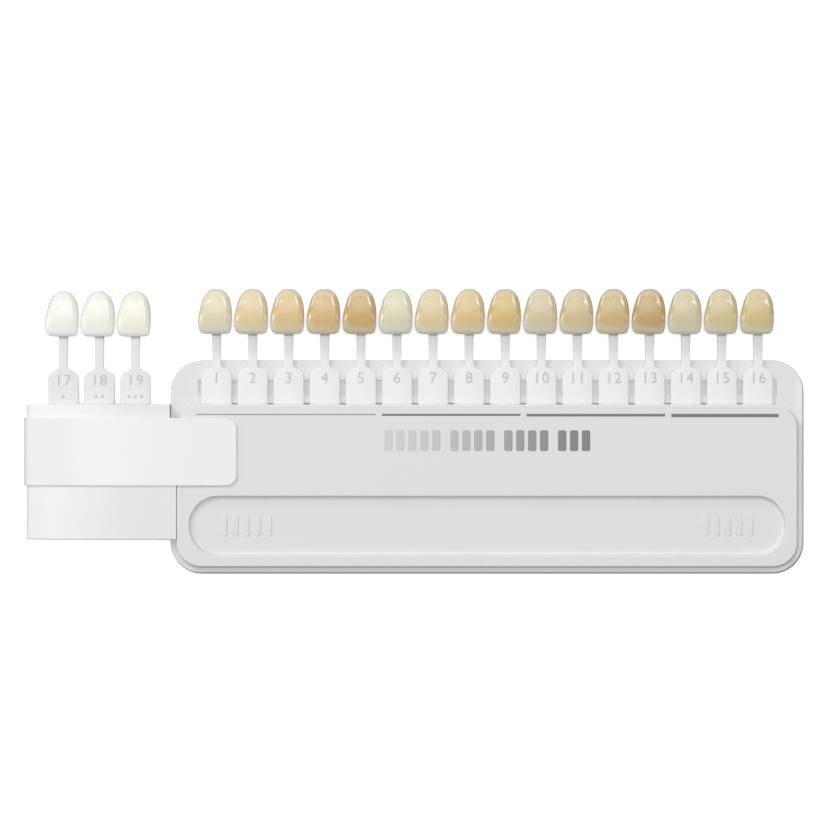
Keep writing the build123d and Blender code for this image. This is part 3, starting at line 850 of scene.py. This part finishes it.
def sideBumps(s, at, width):
    return sum(math.exp(-((s - side * at) / width) ** 2) for side in (-1, 1))


def carveFront(tooth, rings, carving, length, bottom, face):
    # two long hollows, a ridge near each side and a soft step where the neck begins
    for vertex in tooth.data.vertices:
        v = vertex.co.y - bottom
        t = v / length
        left, right, front = ringAt(rings, v)
        s = (vertex.co.x - (right - left) / 2) / ((left + right) / 2)
        facing = smoothStep(*carving["facing"], (vertex.co.z - face) / max(front, touch))
        ridgeAt = carving["ridgeAt"] - carving["ridgeLean"] * smoothStep(*carving["leanSpan"], t)
        ridge = sideBumps(s, ridgeAt, carving["ridgeWidth"]) * windowAt(carving["ridgeSpan"], t)
        groove = sideBumps(s, carving["grooveAt"], carving["grooveWidth"]) * windowAt(carving["grooveSpan"], t)
        neckLine = carving["neckAt"] + carving["neckBow"] * (1 - s * s)
        neck = smoothStep(*[neckLine + step for step in carving["neckSoft"]], t)
        lift = ridge * carving["ridgeRise"] - groove * carving["grooveDepth"] - neck * carving["neckStep"]
        vertex.co.z += lift * facing


def finishTooth(pattern, node, body, tone, edgeTone):
    low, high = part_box(node)
    tooth = copyAt(pattern, "sample_" + node, Vector(low) - Vector(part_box("tooth_01")[0]))
    centre = Vector(((low[0] + high[0]) / 2, low[1], (low[2] + high[2]) / 2))
    halfWidth, length = (high[0] - low[0]) / 2, high[1] - low[1]
    material = enamelMaterial("enamel_" + node, tone, edgeTone, centre, halfWidth, length, enamelLook)
    tooth.data.materials.append(material)
    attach(tooth, body)
    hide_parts(node)


toothLow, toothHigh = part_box("tooth_01")
tabLow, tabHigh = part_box("tab_01")
toothPattern = modelTooth(toothShape, frontCarving, toothHigh[1] - toothLow[1], toothLow[1], tabHigh[2])
toothPattern.data.transform(Matrix.Translation(((tabLow[0] + tabHigh[0]) / 2, 0, 0)))
tones = [tone for group in shadeGroups for tone in groupTones(group)]
for label, tone in zip(tabNames, tones):
    finishTooth(toothPattern, "tooth_" + label, "shade_tab_" + label, tone,
                enamelLook["shadeEdge"])
for label, tone in zip(bleachNames, groupTones(bleachGroup)):
    finishTooth(toothPattern, "bleach_tooth_" + label, "bleached_tab_" + label, tone,
                enamelLook["bleachEdge"])
bpy.data.objects.remove(toothPattern)
print("samples modelled")


# floor, lights and camera

stageLook = {"floorSize": 6.0, "floorDrop": 0.02 * mm, "floorTone": 0.94, "floorBounce": 0.45, "floorGlow": 0.5,
             "floorRoughness": 0.9, "worldStrength": 0.28,
             "cameraDistance": 1.2, "viewWidth": 218.2 * mm, "viewCentre": (-18.42 * mm, 13.02 * mm),
             "sensor": 36, "nearest": 0.01, "farthest": 20}
lightLooks = {
    "bigPanel": {"place": (0, 0.58, 1.60), "aim": (0, 0, 0), "along": (0, 1, 0), "size": (1.3, 1.8),
                 "power": 6.6, "inGloss": True},
    "overhead": {"place": (0, 0, 2.0), "aim": (0, 0, 0), "along": (0, 1, 0), "size": (0.35, 0.35),
                 "power": 11.8, "inGloss": False},
    "softKey": {"place": (-0.85, 0.9, 0.92), "aim": (0, 0, 0), "along": (0, 1, 0), "size": (0.4, 0.4),
                "power": 5.4, "inGloss": False},
    "leftStrip": {"place": (-0.60, 0.48, 0.98), "aim": (-0.02, 0.03, 0), "along": (0.57, 0.82, 0),
                  "size": (0.07, 0.34), "power": 1.0, "inGloss": True},
    "rightStrip": {"place": (0.62, 0.40, 1.0), "aim": (-0.02, 0.03, 0), "along": (0.61, -0.79, 0),
                   "size": (0.07, 0.30), "power": 1.0, "inGloss": True},
    "sideStrip": {"place": (-1.1, -0.02, 0.46), "aim": (-0.02, 0.03, 0), "along": (0, 1, 0),
                  "size": (0.12, 0.32), "power": 0.7, "inGloss": True},
}


def makeFloor():
    clearSelection()
    height = cadBox[0][2] - stageLook["floorDrop"]
    bpy.ops.mesh.primitive_plane_add(size=stageLook["floorSize"], location=(0, 0, height))
    floor = bpy.context.object
    floor.name = "paleFloor"
    material, tree, shader = startMaterial("paleFloor")
    tone = stageLook["floorTone"]
    shader.inputs["Roughness"].default_value = stageLook["floorRoughness"]
    shader.inputs["Specular IOR Level"].default_value = 0.0
    # white to the camera, dimmer to the light that it throws back on the guide
    path = tree.nodes.new("ShaderNodeLightPath")
    seen = addMath(tree, "MAXIMUM", path.outputs["Is Camera Ray"], path.outputs["Is Glossy Ray"])
    seen = addMath(tree, "MAXIMUM", seen, path.outputs["Is Transmission Ray"])
    bounce = stageLook["floorBounce"]
    pale = addMix(tree, path.outputs["Is Camera Ray"], (bounce, bounce, bounce), (tone, tone, tone))
    tree.links.new(pale, shader.inputs["Base Color"])
    shader.inputs["Emission Color"].default_value = (1, 1, 1, 1)
    tree.links.new(addMath(tree, "MULTIPLY", seen, stageLook["floorGlow"]), shader.inputs["Emission Strength"])
    floor.data.materials.append(material)
    floor.visible_glossy = False


def addSoftLight(name, look):
    lamp = bpy.data.lights.new(name, "AREA")
    lamp.shape = "RECTANGLE"
    lamp.size, lamp.size_y = look["size"]
    lamp.energy = look["power"]
    light = bpy.data.objects.new(name, lamp)
    light.location = look["place"]
    back = (Vector(look["place"]) - Vector(look["aim"])).normalized()
    side = Vector(look["along"]).cross(back).normalized()
    light.rotation_euler = Matrix((side, back.cross(side), back)).transposed().to_euler()
    light.visible_glossy = look["inGloss"]
    bpy.context.collection.objects.link(light)


def makeLights():
    world = bpy.data.worlds.new("paleRoom")
    world.use_nodes = True
    tree = world.node_tree
    back = tree.nodes["Background"]
    strength = stageLook["worldStrength"]
    path = tree.nodes.new("ShaderNodeLightPath")
    seen = addMath(tree, "MAXIMUM", path.outputs["Is Camera Ray"], path.outputs["Is Transmission Ray"])
    tree.links.new(addMath(tree, "MULTIPLY_ADD", seen, 1 - strength, strength), back.inputs["Strength"])
    back.inputs["Color"].default_value = (1, 1, 1, 1)
    bpy.context.scene.world = world
    for name, look in lightLooks.items():
        addSoftLight(name, look)


def makeCamera():
    data = bpy.data.cameras.new("photoView")
    data.sensor_width = stageLook["sensor"]
    data.lens = stageLook["sensor"] * stageLook["cameraDistance"] / stageLook["viewWidth"]
    data.clip_start = stageLook["nearest"]
    data.clip_end = stageLook["farthest"]
    camera = bpy.data.objects.new("photoView", data)
    camera.location = (*stageLook["viewCentre"], stageLook["cameraDistance"])
    bpy.context.collection.objects.link(camera)
    bpy.context.scene.camera = camera


makeFloor()
makeLights()
makeCamera()
bpy.context.scene.view_settings.view_transform = "Standard"
print("stage set")
